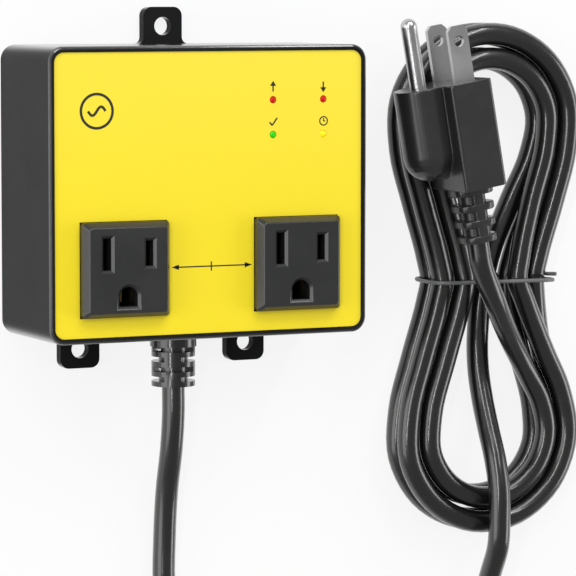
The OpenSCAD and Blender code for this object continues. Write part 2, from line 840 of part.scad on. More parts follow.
module glass_fuse() {
  color("#cfd8d6") at_fuse() {
    cylinder(h = fuse_l, r = fuse_r - clip_t / 2, center = true, $fn = fine);
    for (s = [-1, 1])
      translate([0, 0, s * (fuse_l - fuse_cap_l) / 2])
        cylinder(h = fuse_cap_l, r = fuse_r, center = true, $fn = fine);
  }
}

module fuse_clips() {
  color("#c9ccd0")
    for (s = [-1, 1])
      on_board([fuse_at[0] + s * (fuse_l - fuse_cap_l) / 2, fuse_at[1]]) difference() {
        block(clip_w, 2 * (fuse_r + clip_t), fuse_r + fuse_stand, pcb_back - fuse_r - fuse_stand);
        translate([0, 0, pcb_back - fuse_stand - fuse_r]) rotate([0, 90, 0])
          cylinder(h = clip_w + 2 * over, r = fuse_r, center = true, $fn = fine);
      }
}

// A small part that lies along Y with its two bent legs
module axial_part(r, length) {
  z = pcb_back - small_stand - r;
  translate([0, 0, z]) rotate([90, 0, 0]) cylinder(h = length, r = r, center = true, $fn = hull_faces);
  for (s = [-1, 1]) {
    translate([0, s * (length / 2 + bend_reach / 2), z]) rotate([90, 0, 0])
      cylinder(h = bend_reach + slice, r = lead_r, center = true, $fn = hull_faces);
    translate([0, s * (length / 2 + bend_reach), 0]) rod(lead_r + screw_fit, z - 2 * lead_r, pcb_back);
  }
}

module diodes() {
  color("#1e1e20") for (p = diode_at) on_board(p) axial_part(diode_r, diode_l);
}

module resistors() {
  color("#b98d5c") for (p = resistor_at) on_board(p) axial_part(resistor_r, resistor_l);
}

// Strain relief of the housing: two collars, a groove, slotted rings
module cord_strain_relief() {
  pitch = relief_slot + relief_ring;
  first = case_h / 2 + outer_collar_t;
  color("#1f1f21") translate([0, 0, outlet_z]) rotate([90, 0, 0]) rotate(relief_turn) difference() {
    union() {
      rod(collar_d / 2, -relief_in_y, case_h / 2 - wall - fit);
      rod(groove_r, case_h / 2 - wall - fit - slice, case_h / 2 + slice);
      rod(collar_d / 2, case_h / 2, first);
      rod(relief_d / 2, first - slice, -relief_end_y);
    }
    for (i = [0:relief_rings - 1], s = [-1, 1])
      rotate((i % 2) * 90)
        translate([0, s * (relief_d + relief_web) / 2, 0]) difference() {
          block(relief_d + 2 * over, relief_d, relief_slot, first + i * pitch);
          translate([0, -s * (relief_d + relief_web) / 2, 0])
            rod(relief_core_r, first - over, -relief_end_y);
        }
  }
}

// Inner wires from the strain relief to the board and the strips
module wire(points) {
  tube(smooth_path(points, 3), wire_r, wire_faces, [1, 0, 0]);
}

function wire_in(x) = [[x, relief_in_y, outlet_z], [x, relief_in_y + 2 * wire_r, outlet_z]];
function bar_end(x, y) = [[x, y, bar_back - wire_end], [x, y, bar_back]];
function tab_end(i) = let (x = tab_places[i][0], y = tab_places[i][1] + parts_shift,
  z = pcb_back - tab_size[2]) [[x, y, z - wire_end], [x, y, z]];

module line_wire() {
  color("#1c1c1e") wire(concat(wire_in(-wire_start_pitch), line_route, tab_end(1)));
}

module switched_wire() {
  color("#7a1f1c")
    wire(concat([for (i = [1:-1:0]) tab_end(0)[i]], switched_route, bar_end(-4, slot_y - bar_offset)));
}

module neutral_wire() {
  color("#e8e8e4") wire(concat(wire_in(wire_start_pitch), neutral_route, bar_end(5, slot_y + bar_offset)));
}

module ground_wire() {
  color("#2f8f3c") wire(concat(wire_in(0), bar_end(0, ground_y)));
}

// Hank: points of its straight runs and of its folds
function waist_lift(y) = tie_lift * (1 - min(abs(y) / climb_reach, 1));
function lane_r(turn) = hank_fold_r + turn[0] * strand_step;
function lane_z(layer, y) = cord_d / 2 + layer * layer_step + waist_lift(y);
function lane_x(y, turn, lean) = (lane_r(turn)
  - (hank_reach - sqrt(y * y + waist_soft * waist_soft)) * sin(lean)) / cos(lean);
function fold_point(turn, side, a) = [lane_r(turn) * cos(a), side * hank_reach + lane_r(turn) * sin(a),
  lane_z(turn[1], hank_reach)];
function fold(turn, side, from, to) = [for (i = [0:fold_rings])
  fold_point(turn, side, from + (to - from) * i / fold_rings)];
function left_run(turn) = [for (i = [len(waist_levels) - 1:-1:0]) let (y = waist_levels[i])
  [-lane_x(y, turn, lean_narrow), y, lane_z(turn[1], y)]];
function right_run(before, turn) = [for (y = waist_levels)
  [y < 0 ? lane_x(y, before, before[3]) : lane_x(y, turn, turn[2]), y,
    lane_z(before[1] + (turn[1] - before[1]) * (y + climb_reach) / (2 * climb_reach), y)]];
start_levels = [-20, -13, -6];
start_drifts = [0, 0.1, 0.5];
hank_start = [for (i = [0:len(start_levels) - 1])
  [start_drifts[i], start_levels[i], lane_z(0, start_levels[i])]];
hank_local = concat(hank_start, [for (k = [0:len(turns) - 1]) each concat(
  k == 0 ? [for (y = waist_levels) if (y >= 0) [lane_x(y, turns[0], turns[0][2]), y, lane_z(0, y)]]
    : right_run(turns[k - 1], turns[k]),
  fold(turns[k], 1, -turns[k][2], 180 + lean_narrow),
  left_run(turns[k]),
  fold(turns[k], -1, 180 - lean_narrow, 360 + turns[k][3]))]);
hank_path = [for (p = hank_local) p + [hank_x, hank_y, 0]];

// Least gap of the hank to itself, measured on closely set points
hank_dense = [for (i = [0:len(hank_path) - 2], k = [0:3])
  hank_path[i] + (hank_path[i + 1] - hank_path[i]) * k / 4];
skip = 20;
hank_gap = min([for (i = [0:len(hank_dense) - 1]) each
  [for (j = [i + skip:1:len(hank_dense) - 1]) norm(hank_dense[i] - hank_dense[j])]]) - cord_d;
echo(hank_least_gap = hank_gap);
function path_length(p) = norm(p[1] - p[0]) + (len(p) > 2 ? path_length([for (i = [1:len(p) - 1]) p[i]]) : 0);

module cord_hank() {
  color("#1b1b1c") tube(hank_path, cord_d / 2, hank_sides);
}

lead_path = concat([[0, relief_end_y, outlet_z]], smooth_path(concat(lead_points, [hank_path[0]]),
  lead_rings_per_span));

module cord_lead() {
  color("#1b1b1c") tube(lead_path, cord_d / 2, lead_sides);
}

// Tail: from the hank's last run up into the plug
function plug_point(x, y, z) = plug_at + [x * cos(plug_lean) - y * sin(plug_lean),
  x * sin(plug_lean) + y * cos(plug_lean), z];
plug_end = plug_point(0, -plug_l - plug_relief_l, 0);
tail_start = hank_path[len(hank_path) - 1];
function heading(lean) = [-sin(lean), cos(lean), 0] * tail_pull;
function tail_point(t, z) = let (p = (2 * t ^ 3 - 3 * t ^ 2 + 1) * tail_start
  + (t ^ 3 - 2 * t ^ 2 + t) * heading(lean_wide) + (3 * t ^ 2 - 2 * t ^ 3) * plug_end
  + (t ^ 3 - t ^ 2) * heading(plug_lean)) [p[0], p[1], z];
tail_path = concat([tail_start], smooth_path(concat([for (s = tail_steps) tail_point(s[0], s[1])],
  [plug_point(0, -plug_l - plug_relief_l - cord_d, 0)]), 2), [plug_end]);

module cord_tail() {
  color("#1b1b1c") tube(tail_path, cord_d / 2, lead_sides);
}

echo(cord_length = path_length(lead_path) + path_length(hank_path) + path_length(tail_path));

// Twist tie: a wire loop drawn round the waist, its ends side by side
tie_points = [[20.75, 7], [20.75, 11.5], [19.5, 14.7], [16.8, 15.95], [6, 15.95], [-6, 15.95],
  [-16.8, 15.95], [-19.5, 14.7], [-20.75, 11.5], [-20.75, 5], [-19.9, 2], [-17, 0.7], [0, 0.7],
  [17, 0.7], [19.9, 2], [20.75, 5], [21.2, 9], [22.6, 11.4]];

module twist_tie() {
  last = len(tie_points) - 1;
  path = [for (i = [0:last])
    [hank_x + tie_points[i][0], hank_y + (i / last - 0.5) * (2 * tie_r + layer_gap), tie_points[i][1]]];
  color("#4a4b4d") tube(path, tie_r, wire_faces, [0, 1, 0]);
}

// Plug, built with its face at the origin and its pins along +Y
module at_plug() {
  translate(plug_at) rotate([0, 0, plug_lean]) children();
}

module blade(length, root) {
  tip = blade_w * blade_tip_share;
  translate([0, 0, -blade_t / 2]) linear_extrude(blade_t)
    polygon([[-blade_w / 2, -root], [blade_w / 2, -root], [blade_w / 2, length - tip],
      [blade_w / 2 - tip, length], [-blade_w / 2 + tip, length], [-blade_w / 2, length - tip]]);
}

module drilled_blade(side) {
  at_plug() translate([0, 0, side * blade_pitch / 2]) difference() {
    blade(blade_l, blade_root);
    translate([0, blade_hole_at, -blade_t]) cylinder(h = 2 * blade_t, r = blade_hole_r, $fn = fine);
  }
}

module plug_hot_blade() {
  color("#cfd1d4") drilled_blade(1);
}

module plug_neutral_blade() {
  color("#cfd1d4") drilled_blade(-1);
}

module pin_shape(root) {
  rotate([-90, 0, 0]) {
    rod(pin_r, -root, pin_l - pin_r);
    translate([0, 0, pin_l - pin_r]) sphere(pin_r, $fn = fine);
  }
}

module plug_ground_pin() {
  color("#cfd1d4") at_plug() translate([-ground_drop, 0, 0]) pin_shape(blade_root);
}

// Slab that stands along -Y, for the plug's block and ribs
module plug_slab(w, t, corner, from, to) {
  translate([0, from, 0]) rotate([90, 0, 0]) slab(w, t, corner, from - to);
}

module plug_body() {
  pitch = (plug_relief_l - plug_rib_t) / (plug_rib_count - 1);
  relief_end = -plug_l - plug_relief_l;
  color("#2a2b2d") at_plug() difference() {
    union() {
      plug_slab(plug_block_w, plug_block_t, plug_edge, 0, -plug_l);
      translate([lobe_x, 0, 0]) rotate([90, 0, 0]) rod(lobe_r, 0, lobe_l);
      translate([lobe_x, -lobe_l, 0]) sphere(lobe_r, $fn = fine);
      translate([lobe_x, -lobe_l, -lobe_r]) cube([-lobe_x, lobe_l, 2 * lobe_r]);
      translate([lobe_x, -lobe_l, 0]) rotate([0, 90, 0]) rod(lobe_r, 0, -lobe_x);
      rotate([90, 0, 0]) rod(plug_relief_core_r, plug_l - plug_edge, -relief_end);
      for (i = [0:plug_rib_count - 1])
        let (w = plug_relief_w + (plug_relief_end_w - plug_relief_w) * i / (plug_rib_count - 1))
        plug_slab(w, plug_relief_depth, plug_relief_edge, -plug_l - i * pitch + slice,
          -plug_l - i * pitch - plug_rib_t);
      plug_slab(plug_band, plug_relief_depth, plug_relief_edge, -plug_l + slice, relief_end);
    }
    for (s = [-1, 1]) translate([0, 0, s * blade_pitch / 2]) blade(blade_l, blade_root);
    translate([-ground_drop, 0, 0]) pin_shape(blade_root);
  }
}

front_housing();
back_cover();
face_label();
left_receptacle();
right_receptacle();
neutral_contact_strip();
hot_contact_strip();
ground_contact_strip();
left_retainer();
right_retainer();
retainer_screws();
case_screws();
circuit_board();
board_screws();
board_terminals();
high_voltage_lamp();
low_voltage_lamp();
normal_lamp();
delay_lamp();
relay_base();
relay_cover();
relay_bobbin();
relay_winding();
relay_core();
relay_yoke();
relay_armature();
relay_contact_leaf();
relay_fixed_contact();
varistor();
film_capacitor();
smoothing_capacitor();
control_chip();
glass_fuse();
fuse_clips();
diodes();
resistors();
cord_strain_relief();
line_wire();
neutral_wire();
ground_wire();
switched_wire();
cord_lead();
cord_hank();
cord_tail();
twist_tie();
plug_body();
plug_hot_blade();
plug_neutral_blade();
plug_ground_pin();
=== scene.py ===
import bpy, bmesh, json
from math import sin, cos, pi, radians, sqrt
from mathutils import Vector, Matrix


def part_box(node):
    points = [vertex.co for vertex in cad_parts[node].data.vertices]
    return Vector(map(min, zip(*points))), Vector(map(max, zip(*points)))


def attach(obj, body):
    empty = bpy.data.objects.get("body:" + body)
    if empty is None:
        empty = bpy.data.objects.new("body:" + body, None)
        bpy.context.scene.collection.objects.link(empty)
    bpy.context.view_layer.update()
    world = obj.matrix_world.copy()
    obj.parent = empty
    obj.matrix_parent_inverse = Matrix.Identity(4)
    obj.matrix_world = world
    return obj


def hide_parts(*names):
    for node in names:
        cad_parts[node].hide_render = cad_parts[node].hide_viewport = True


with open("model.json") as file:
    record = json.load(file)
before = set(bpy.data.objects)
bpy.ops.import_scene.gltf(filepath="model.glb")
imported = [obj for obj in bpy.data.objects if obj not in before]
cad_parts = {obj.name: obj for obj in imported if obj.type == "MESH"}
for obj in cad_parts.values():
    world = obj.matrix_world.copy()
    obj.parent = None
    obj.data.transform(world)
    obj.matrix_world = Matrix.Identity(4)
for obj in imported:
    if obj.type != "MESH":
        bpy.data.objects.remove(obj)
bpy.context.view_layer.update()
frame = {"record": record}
mm = 0.001
touching = 1e-7  # metres: points closer than this are one
pathSteps = 5  # points that a soft path makes from one given point to the next


# Camera, at the photograph's angle
def makeCamera():
    view = dict(yaw=25.27, pitch=4.75, place=(-391.7, 57.1, 905.4), lens=213.7, shift=(0.030, -0.029),
                sensor=36, near=0.01, far=20)
    yaw, pitch = radians(view["yaw"]), radians(view["pitch"])
    back = Vector((-sin(yaw) * cos(pitch), sin(pitch), cos(yaw) * cos(pitch)))
    right = Vector((0, 1, 0)).cross(back).normalized()
    up = back.cross(right)
    data = bpy.data.cameras.new("studioCamera")
    data.sensor_width = view["sensor"]
    data.lens = view["lens"]
    data.shift_x, data.shift_y = view["shift"]
    data.clip_start, data.clip_end = view["near"], view["far"]
    camera = bpy.data.objects.new("studioCamera", data)
    turn = Matrix((right, up, back)).transposed().to_4x4()
    camera.matrix_world = Matrix.Translation(Vector(view["place"]) * mm) @ turn
    bpy.context.collection.objects.link(camera)
    bpy.context.scene.camera = camera


makeCamera()
print("camera set")


# Shader sockets as Python values
class Val:
    def __init__(self, mat, socket):
        self.mat, self.socket = mat, socket

    def op(self, kind, *others):
        return self.mat.node("ShaderNodeMath", dict(operation=kind), (self, *others))

    def __add__(self, other):
        return self.op("ADD", other)

    def __radd__(self, other):
        return self.op("ADD", other)

    def __sub__(self, other):
        return self.op("SUBTRACT", other)

    def __mul__(self, other):
        return self.op("MULTIPLY", other)

    def __pow__(self, other):
        return self.op("POWER", other)

    def __abs__(self):
        return self.op("ABSOLUTE")


class Finish:
    def __init__(self, name):
        self.data = bpy.data.materials.new(name)
        self.data.use_nodes = True
        self.tree = self.data.node_tree
        self.shader = self.tree.nodes["Principled BSDF"]
        self.output = self.tree.nodes["Material Output"]

    def node(self, kind, settings=None, values=(), out=0):
        made = self.tree.nodes.new(kind)
        for key, value in (settings or {}).items():
            setattr(made, key, value)
        pairs = values.items() if isinstance(values, dict) else enumerate(values)
        for key, value in pairs:
            if isinstance(value, Val):
                self.tree.links.new(value.socket, made.inputs[key])
            else:
                made.inputs[key].default_value = value
        return Val(self, made.outputs[out])

    def place(self, stretch=(1, 1, 1)):
        here = self.node("ShaderNodeTexCoord", out="Object")
        return self.node("ShaderNodeMapping", None, {"Vector": here, "Scale": stretch})

    def axis(self, index):
        return self.node("ShaderNodeSeparateXYZ", None, [self.place()], index)

    def grain(self, scale, detail=3, rough=0.5, stretch=(1, 1, 1)):
        where = self.place(stretch)
        return self.node("ShaderNodeTexNoise", None,
                         {"Vector": where, "Scale": scale, "Detail": detail, "Roughness": rough})

    def mix(self, share, first, second):
        pair = [part if isinstance(part, Val) else (*part, 1) for part in (first, second)]
        return self.node("ShaderNodeMix", dict(data_type="RGBA"), {0: share, 6: pair[0], 7: pair[1]}, 2)

    def smooth(self, value, low, high, first=0.0, second=1.0):
        return self.node("ShaderNodeMapRange", dict(interpolation_type="SMOOTHSTEP"),
                         {"Value": value, "From Min": low, "From Max": high,
                          "To Min": first, "To Max": second})

    def frontEdge(self):  # 1 on the case's front edge and 0 elsewhere, in metres as the frame gives them
        case = dict(corner=0.0044, out=(0.0035, 0.0038), below=(0.00098, 0.00075))
        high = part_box("front_housing")[1]
        past = [(abs(self.axis(k)) - (high[k] - case["corner"])).op("MAXIMUM", 0.0) for k in (0, 1)]
        out = (past[0] ** 2 + past[1] ** 2) ** 0.5
        up = [high[2] - depth for depth in case["below"]]
        return self.smooth(out, *case["out"]) * self.smooth(self.axis(2), *up)

    def bump(self, height, strength, distance):
        return self.node("ShaderNodeBump", None,
                         {"Height": height, "Strength": strength, "Distance": distance})

    def set(self, **sockets):
        for key, value in sockets.items():
            words = "".join(" " + part if part.isupper() else part for part in key)
            socket = self.shader.inputs[words.title()]  # baseColor is the socket Base Color
            if isinstance(value, Val):
                self.tree.links.new(value.socket, socket)
            else:
                colour = isinstance(value, tuple) and len(value) == 3
                socket.default_value = (*value, 1) if colour else value
        return self.data


# Finishes
def mouldedPlastic(name, dark, light, rough, coat=0.0, shine=0.5, rimGloss=0.0):
    skin = dict(cloud=38, cloudDetail=4, pores=2600, poreDetail=2, tone=(0.3, 0.7), polish=0.05,
                patches=0.08, grit=0.04, facing=0.5, rim=(0.67, 0.84), rimIor=2.0, coatRough=0.15,
                bump=0.35, depth=0.00004)
    mat = Finish(name)
    mat.shader.inputs["Specular IOR Level"].default_value = shine
    if rimGloss:  # polished skin on the front's edge and where the surface turns away
        facing = mat.node("ShaderNodeLayerWeight", None, {"Blend": skin["facing"]}, "Facing")
        rim = mat.smooth(facing, *skin["rim"], coat, rimGloss)
        coat = rim.op("MAXIMUM", mat.frontEdge() * rimGloss)
        mat.shader.inputs["Coat IOR"].default_value = skin["rimIor"]
    cloud = mat.grain(skin["cloud"], skin["cloudDetail"])
    fine = mat.grain(skin["pores"], skin["poreDetail"])
    tone = mat.smooth(cloud, *skin["tone"])
    return mat.set(baseColor=mat.mix(tone, dark, light),
                   roughness=rough - skin["polish"] + tone * skin["patches"] + fine * skin["grit"],
                   coatWeight=coat, coatRoughness=skin["coatRough"],
                   normal=mat.bump(fine, skin["bump"], skin["depth"]))


def softRubber(name, dark, light, rough, depth=0.00003, coat=0.0, shine=0.5):
    skin = dict(cloud=60, pores=3400, poreDetail=2, scuff=240, scuffDetail=5, scuffRough=0.6,
                scuffed=(0.52, 0.72), patches=0.08, dull=0.07, coatRough=0.14, bump=0.3)
    mat = Finish(name)
    mat.shader.inputs["Specular IOR Level"].default_value = shine
    cloud = mat.grain(skin["cloud"])
    fine = mat.grain(skin["pores"], skin["poreDetail"])
    scuff = mat.smooth(mat.grain(skin["scuff"], skin["scuffDetail"], skin["scuffRough"]), *skin["scuffed"])
    return mat.set(baseColor=mat.mix(cloud, dark, light),
                   roughness=rough + cloud * skin["patches"] + scuff * skin["dull"],
                   coatWeight=coat, coatRoughness=skin["coatRough"],
                   normal=mat.bump(fine, skin["bump"], depth))


def platedMetal(name, dark, light, rough, stretch=(1, 1, 1), depth=0.00001):
    skin = dict(brush=900, brushDetail=3, brushRough=0.6, cloud=70, marks=0.1, stained=(0.45, 0.75),
                stain=0.06, bump=0.15)
    mat = Finish(name)
    brush = mat.grain(skin["brush"], skin["brushDetail"], skin["brushRough"], stretch)
    cloud = mat.grain(skin["cloud"])
    stain = mat.smooth(cloud, *skin["stained"]) * skin["stain"]
    return mat.set(baseColor=mat.mix(cloud, dark, light), metallic=1.0,
                   roughness=rough + brush * skin["marks"] + stain,
                   normal=mat.bump(brush, skin["bump"], depth))


def litLens(name, colour, glow):
    lens = dict(cloud=1500, cloudDetail=2, deep=0.75, shine=0.2, rough=0.3, patches=0.08, coat=0.15,
                coatRough=0.1)
    mat = Finish(name)
    mat.shader.inputs["Specular IOR Level"].default_value = lens["shine"]
    cloud = mat.grain(lens["cloud"], lens["cloudDetail"])
    tone = mat.mix(cloud, tuple(part * lens["deep"] for part in colour), colour)
    return mat.set(baseColor=tone, roughness=lens["rough"] + cloud * lens["patches"],
                   emissionColor=tone, emissionStrength=glow, coatWeight=lens["coat"],
                   coatRoughness=lens["coatRough"])


def printedLabel():
    paper = dict(top=(0.97, 0.795, 0.046), foot=(0.985, 0.79, 0.013), faded=(0.93, 0.70, 0.028),
                 rise=(-0.02, 0.045), cloud=52, cloudDetail=4, fading=(0.35, 0.8), fade=0.12, skin=1900,
                 skinDetail=2, rough=0.36, patches=0.08, grit=0.04, coat=0.25, coatRough=0.2, bump=0.2,
                 depth=0.000015)
    mat = Finish("labelYellow")
    # top is paler than foot: a painted sheen from the light above, lighter towards the top of the label
    share = mat.smooth(mat.axis(1), *paper["rise"])
    cloud = mat.grain(paper["cloud"], paper["cloudDetail"])
    skin = mat.grain(paper["skin"], paper["skinDetail"])
    base = mat.mix(share, paper["foot"], paper["top"])
    tone = mat.mix(mat.smooth(cloud, *paper["fading"], 0, paper["fade"]), base, paper["faded"])
    return mat.set(baseColor=tone,
                   roughness=paper["rough"] + cloud * paper["patches"] + skin * paper["grit"],
                   coatWeight=paper["coat"], coatRoughness=paper["coatRough"],
                   normal=mat.bump(skin, paper["bump"], paper["depth"]))


def copperWinding():
    wire = dict(dark=(0.22, 0.055, 0.014), light=(0.55, 0.17, 0.045), bands=1600.0, wander=0.4,
                rough=0.25, grooves=0.2, bump=0.8, depth=0.0001)
    mat = Finish("copperWinding")
    turns = mat.node("ShaderNodeTexWave", dict(bands_direction="Z", wave_profile="SIN"),
                     {"Vector": mat.place(), "Scale": wire["bands"], "Distortion": wire["wander"]})
    # dark is painted shade in the grooves between the turns, where the bump sinks; light is on their crowns
    return mat.set(baseColor=mat.mix(turns, wire["dark"], wire["light"]),
                   roughness=wire["rough"] + turns * wire["grooves"],
                   normal=mat.bump(turns, wire["bump"], wire["depth"]))


def solderBoard():
    board = dict(green=(0.016, 0.105, 0.034), track=(0.045, 0.20, 0.06), deep=(0.01, 0.07, 0.02),
                 cells=260.0, gap=0.05, pad=0.4, shown=(0.3, 0.9), trackShare=0.8, cloud=90,
                 deepShare=0.25, rough=0.3, patches=0.12, coat=0.4, coatRough=0.1, bump=0.4,
                 depth=0.00004)
    mat = Finish("solderBoard")
    cell = mat.node("ShaderNodeTexBrick", dict(offset=0.5),
                    {"Vector": mat.place(), "Color1": (0, 0, 0, 1), "Color2": (*[board["pad"]] * 3, 1),
                     "Mortar": (1, 1, 1, 1), "Scale": board["cells"], "Mortar Size": board["gap"]})
    cloud = mat.grain(board["cloud"])
    tracks = mat.smooth(cell, *board["shown"], 0.0, board["trackShare"])
    tone = mat.mix(tracks, board["green"], board["track"])
    return mat.set(baseColor=mat.mix(cloud * board["deepShare"], tone, board["deep"]),
                   roughness=board["rough"] + cloud * board["patches"], coatWeight=board["coat"],
                   coatRoughness=board["coatRough"], normal=mat.bump(cell, board["bump"], board["depth"]))


def fuseGlass():
    tube = dict(glass=(0.75, 0.80, 0.78), cap=(0.55, 0.56, 0.58), middle=0.006,
                capFrom=(0.00495, 0.00505), cloud=300, rough=0.1, patches=0.08, capRough=0.12, coat=0.5)
    mat = Finish("fuseGlass")
    cap = mat.smooth(abs(mat.axis(0) - tube["middle"]), *tube["capFrom"])
    cloud = mat.grain(tube["cloud"])
    return mat.set(baseColor=mat.mix(cap, tube["glass"], tube["cap"]), metallic=cap,
                   roughness=tube["rough"] + cloud * tube["patches"] + cap * tube["capRough"],
                   coatWeight=tube["coat"])


def bandedLacquer():
    coat = dict(tan=(0.50, 0.30, 0.13), red=(0.35, 0.03, 0.02), black=(0.03, 0.03, 0.03), stripes=105.0,
                stripe=(0.72, 0.76), blackFrom=(0.011, 0.013), cloud=500, cloudDetail=2, rough=0.22,
                patches=0.1, weight=0.5)
    mat = Finish("bandedLacquer")
    stripes = mat.node("ShaderNodeTexWave", dict(bands_direction="Y", wave_profile="SAW"),
                       {"Vector": mat.place(), "Scale": coat["stripes"], "Distortion": 0.0})
    paint = mat.mix(mat.smooth(mat.axis(1), *coat["blackFrom"]), coat["red"], coat["black"])
    cloud = mat.grain(coat["cloud"], coat["cloudDetail"])
    return mat.set(baseColor=mat.mix(mat.smooth(stripes, *coat["stripe"]), coat["tan"], paint),
                   roughness=coat["rough"] + cloud * coat["patches"], coatWeight=coat["weight"])


finishes = dict(
    housing_plastic=mouldedPlastic("housingPlastic", (0.013, 0.013, 0.0135), (0.019, 0.019, 0.0195), 0.22,
                                   shine=0.04, rimGloss=1.0),
    label_yellow=printedLabel(),
    socket_plastic=mouldedPlastic("socketPlastic", (0.0125, 0.013, 0.0135), (0.0175, 0.018, 0.0185), 0.34,
                                  shine=0.85),
    contact_brass=platedMetal("contactBrass", (0.55, 0.36, 0.12), (0.76, 0.53, 0.22), 0.24, (1, 8, 1)),
    inner_plastic=mouldedPlastic("innerPlastic", (0.11, 0.115, 0.12), (0.16, 0.165, 0.17), 0.45),
    screw_steel=platedMetal("screwSteel", (0.50, 0.51, 0.54), (0.66, 0.67, 0.69), 0.26),
    board_green=solderBoard(),
    pin_nickel=platedMetal("pinNickel", (0.50, 0.50, 0.505), (0.68, 0.68, 0.69), 0.24, (5, 1, 5),
                           depth=0.000004),
    lamp_red=litLens("lampRed", (0.58, 0.008, 0.003), 0.3),
    lamp_green=litLens("lampGreen", (0.025, 0.60, 0.003), 0.3),
    lamp_yellow=litLens("lampYellow", (0.98, 0.88, 0.008), 0.25),
    relay_blue=mouldedPlastic("relayBlue", (0.016, 0.08, 0.32), (0.03, 0.12, 0.42), 0.3, coat=0.3),
    bobbin_white=mouldedPlastic("bobbinWhite", (0.68, 0.65, 0.57), (0.78, 0.75, 0.67), 0.45),
    copper_wire=copperWinding(),
    relay_iron=platedMetal("relayIron", (0.36, 0.37, 0.39), (0.48, 0.49, 0.51), 0.34, (1, 1, 6)),
    film_yellow=mouldedPlastic("filmYellow", (0.58, 0.46, 0.035), (0.68, 0.54, 0.05), 0.4),
    can_sleeve=mouldedPlastic("canSleeve", (0.010, 0.020, 0.065), (0.02, 0.035, 0.09), 0.25, coat=0.4),
    chip_black=mouldedPlastic("chipBlack", (0.014, 0.014, 0.014), (0.024, 0.024, 0.024), 0.5),
    fuse_glass=fuseGlass(),
    resistor_tan=bandedLacquer(),
    cord_rubber=softRubber("cordRubber", (0.0040, 0.0040, 0.0038), (0.0070, 0.0070, 0.0066), 0.26,
                           coat=1.0),
    wire_black=softRubber("wireBlack", (0.010, 0.010, 0.010), (0.02, 0.02, 0.02), 0.35),
    wire_white=softRubber("wireWhite", (0.70, 0.70, 0.66), (0.80, 0.80, 0.76), 0.4),
    wire_green=softRubber("wireGreen", (0.02, 0.22, 0.04), (0.04, 0.30, 0.06), 0.38),
    wire_red=softRubber("wireRed", (0.33, 0.015, 0.012), (0.44, 0.025, 0.02), 0.38),
    tie_grey=softRubber("tieGrey", (0.12, 0.121, 0.124), (0.20, 0.202, 0.206), 0.26),
    plug_rubber=softRubber("plugRubber", (0.015, 0.015, 0.0152), (0.022, 0.022, 0.0222), 0.32,
                           depth=0.00005, coat=0.6, shine=0.45),
)
print("finishes made:", len(finishes))

slotOf = {row["node"]: row["material_slot"] for row in frame["record"]["subparts"]}
for name, slotName in slotOf.items():
    mesh = bpy.data.objects[name].data
    mesh.materials.clear()
    mesh.materials.append(finishes[slotName])


# Helpers for new pieces
def addPiece(name, mesh, slotName, body="housing", smoothSides=True):
    obj = bpy.data.objects.new(name, mesh)
    bpy.context.collection.objects.link(obj)
    mesh.materials.append(finishes[slotName])
    if smoothSides:
        mesh.polygons.foreach_set("use_smooth", [True] * len(mesh.polygons))
    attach(obj, body)
    return obj


def toMesh(bm, name):
    mesh = bpy.data.meshes.new(name)
    bm.to_mesh(mesh)
    bm.free()
    return mesh


def shadeByAngle(mesh, degrees):
    mesh.polygons.foreach_set("use_smooth", [True] * len(mesh.polygons))
    mesh.set_sharp_from_angle(angle=radians(degrees))


def softPath(points, steps):
    count = len(points)
    gaps = [(points[i + 1] - points[i]).length for i in range(count - 1)]
    slopes = [(points[i + 1] - points[i]) / gaps[i] for i in range(count - 1)]
    tangents = [slopes[0]]
    for i in range(1, count - 1):
        tangents.append((slopes[i - 1] * gaps[i] + slopes[i] * gaps[i - 1]) / (gaps[i - 1] + gaps[i]))
    tangents.append(slopes[-1])
    made = []
    for i in range(count - 1):
        for k in range(steps):
            t = k / steps
            a, b = 2 * t**3 - 3 * t**2 + 1, t**3 - 2 * t**2 + t
            c, d = -2 * t**3 + 3 * t**2, t**3 - t**2
            made.append(points[i] * a + tangents[i] * (b * gaps[i]) + points[i + 1] * c
                        + tangents[i + 1] * (d * gaps[i]))
    made.append(points[-1])
    return made


def tubeCurve(name, points, radius, slotName, round):
    data = bpy.data.curves.new(name, "CURVE")
    data.dimensions = "3D"
    data.bevel_depth = radius
    data.bevel_resolution = round
    data.use_fill_caps = True
    line = data.splines.new("POLY")
    line.points.add(len(points) - 1)
    for knot, place in zip(line.points, points):
        knot.co = (*place, 1)
    line.use_smooth = True
    obj = bpy.data.objects.new(name, data)
    bpy.context.collection.objects.link(obj)
    data.materials.append(finishes[slotName])
    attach(obj, "housing")
    return obj


# The cord: lead, hank and tail on one route, in millimetres as the CAD gives them
cord = dict(diameter=6.6, reliefEnd=(0, -56.9, 10), centre=(103, -30), reach=46, fold=20, strandGap=0.75,
            layerGap=0.45, wide=25.8, narrow=15.3, soft=3, climb=23, levels=(-23, -6, 0, 6, 23),
            lift=1.5, foldRings=7, round=7, start=[(0, -20), (0.1, -13), (0.5, -6)])
cord["turns"] = [(0, 0, cord["wide"], cord["narrow"]), (1, 0, cord["wide"], cord["narrow"]),
                 (1, 1, cord["narrow"], cord["wide"]), (0, 1, cord["narrow"], cord["wide"])]
leadPoints = [(0, -65, 10), (0, -75, 8.6), (0, -88, 5.2), (0, -102, 3.4), (0, -118, 3.3),
              (3, -134, 3.3), (13, -150, 3.3), (30, -161, 3.3), (52, -165, 3.3), (74, -161, 3.3),
              (91, -150, 3.3), (100, -138, 4), (103, -128, 7.4), (103, -118, 13), (103, -109.5, 17.2),
              (103, -101, 17.9), (103, -92.5, 17.6), (103, -84, 15), (103, -75, 10.6), (103, -66, 6.6),
              (103, -58, 4.2)]
tail = dict(steps=[(0.12, 10.6), (0.26, 12.4), (0.4, 15.3), (0.54, 19), (0.68, 22.4)], pull=64)
